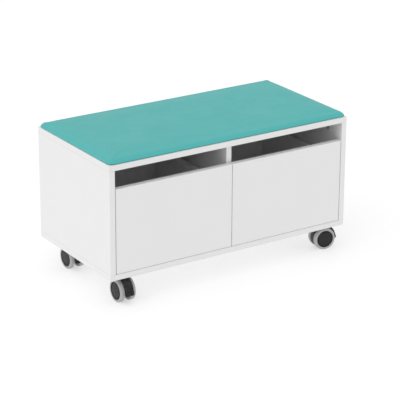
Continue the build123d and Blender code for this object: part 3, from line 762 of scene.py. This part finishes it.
def swell(piece, base):
    """Cloth simulation: the pad's cover is blown up from inside while its base stays put."""
    before = read_points(piece.data)
    held = piece.vertex_groups.new(name="base")
    held.add([int(i) for i in np.nonzero(before[:, 2] < base + PAD_HELD)[0]], 1.0, "ADD")
    cloth = piece.modifiers.new("cloth", "CLOTH")
    cloth.settings.use_pressure = True
    cloth.settings.uniform_pressure_force = SWELL_PRESSURE
    cloth.settings.effector_weights.gravity = 0.0
    cloth.settings.vertex_group_mass = held.name
    for step in range(1, SWELL_STEPS + 1):
        bpy.context.scene.frame_set(step)
    apply_modifiers(piece)
    bpy.context.scene.frame_set(1)
    after = read_points(piece.data)
    move = after - before
    length = np.linalg.norm(move, axis=1, keepdims=True)
    write_points(piece.data, before + move * PAD_CAP / (PAD_CAP + length))


def make_cushion():
    """The seat cushion: foam swollen under its cover, its outline brought to the pad's own size."""
    low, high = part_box("seat_pad")
    points, faces = cushion_start(low, high)
    cushion = make_piece("seat_cushion", points, faces, VINYL, "carcass", "seat_cover")
    remesh = cushion.modifiers.new("remesh", "REMESH")
    remesh.mode, remesh.voxel_size = "VOXEL", PAD_VOXEL
    apply_modifiers(cushion)
    swell(cushion, low.z)
    rounding = cushion.modifiers.new("rounding", "SUBSURF")
    rounding.levels = rounding.render_levels = 1
    apply_modifiers(cushion)
    settled = read_points(cushion.data)
    reach = np.abs(settled[:, :2]).max(0)
    settled[:, :2] *= np.array([high.x, high.y]) / reach
    settled[:, 2] = np.clip(settled[:, 2], low.z + PAD_LEAST_LIFT, high.z + PAD_MOST_CROWN)
    write_points(cushion.data, settled)
    cushion.data.polygons.foreach_set("use_smooth", np.ones(len(cushion.data.polygons), bool))
    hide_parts("seat_pad")


# ---------------------------------------------------------------- floor, light and camera
CAMERA_AZIMUTH = -33.30  # degrees round the object; 0 looks along +Y
CAMERA_HEIGHT_ANGLE = 20.79
CAMERA_ROLL = 0.287
CAMERA_DISTANCE = 5.943
CAMERA_TARGET = (0.0252, 0.0, 0.1938)
CAMERA_LENS = 162.05
FLOOR_HALF = 12.0
FLOOR_GREY = 0.45
FLOOR_GLOW = 0.565
SKY_STRENGTH = 0.64


def camera_axes():
    """The directions to the right of the picture, up it, and back from the object."""
    a, e = math.radians(CAMERA_AZIMUTH), math.radians(CAMERA_HEIGHT_ANGLE)
    back = Vector((math.sin(a) * math.cos(e), -math.cos(a) * math.cos(e), math.sin(e)))
    level = (-back).cross(Vector((0, 0, 1))).normalized()
    upright = level.cross(-back)
    c, s = math.cos(math.radians(CAMERA_ROLL)), math.sin(math.radians(CAMERA_ROLL))
    return c * level + s * upright, c * upright - s * level, back


def make_camera():
    """A long lens in front and to the left, a little above."""
    right, up, back = camera_axes()
    data = bpy.data.cameras.new("camera")
    data.lens, data.sensor_width = CAMERA_LENS, 36.0
    data.clip_start, data.clip_end = 0.1, 100.0
    camera = bpy.data.objects.new("camera", data)
    bpy.context.scene.collection.objects.link(camera)
    turned = Matrix((right, up, back)).transposed().to_4x4()
    turned.translation = Vector(CAMERA_TARGET) + back * CAMERA_DISTANCE
    camera.matrix_world = turned
    bpy.context.scene.camera = camera


def make_sun(name, strength, azimuth, height, spread_angle):
    """A broad soft light from a direction: azimuth as the camera's, height above the floor."""
    data = bpy.data.lights.new(name, "SUN")
    data.energy, data.angle = strength, math.radians(spread_angle)
    sun = bpy.data.objects.new(name, data)
    bpy.context.scene.collection.objects.link(sun)
    a, e = math.radians(azimuth), math.radians(height)
    toward = Vector((math.sin(a) * math.cos(e), -math.cos(a) * math.cos(e), math.sin(e)))
    sun.rotation_mode = "QUATERNION"
    sun.rotation_quaternion = toward.to_track_quat("Z", "Y")


def make_stage():
    """Pale floor, even sky and two broad soft lights, one of them from above."""
    corners = [(x * FLOOR_HALF, y * FLOOR_HALF, 0) for x, y in ((-1, -1), (1, -1), (1, 1), (-1, 1))]
    mesh = bpy.data.meshes.new("floor")
    mesh.from_pydata(corners, [], [(0, 1, 2, 3)])
    floor = bpy.data.objects.new("floor", mesh)
    bpy.context.scene.collection.objects.link(floor)
    material = new_material(
        "floor", Base_Color=(FLOOR_GREY, FLOOR_GREY, FLOOR_GREY, 1.0), Roughness=0.9,
        Emission_Color=(1.0, 1.0, 1.0, 1.0), Emission_Strength=FLOOR_GLOW,
    )[0]
    mesh.materials.append(material)
    world = bpy.data.worlds.new("studio")
    world.use_nodes = True
    background = world.node_tree.nodes["Background"]
    background.inputs["Color"].default_value = (1.0, 1.0, 1.0, 1.0)
    background.inputs["Strength"].default_value = SKY_STRENGTH
    bpy.context.scene.world = world
    make_sun("key", strength=0.80, azimuth=-72.0, height=45.0, spread_angle=70.0)
    make_sun("overhead", strength=0.54, azimuth=0.0, height=88.0, spread_angle=100.0)
    bpy.context.scene.view_settings.view_transform = "Standard"


# ---------------------------------------------------------------- the whole
paint_cad_nodes()
make_cushion()
make_castor_details()
make_runner_balls()
make_bumpers()
make_stage()
make_camera()
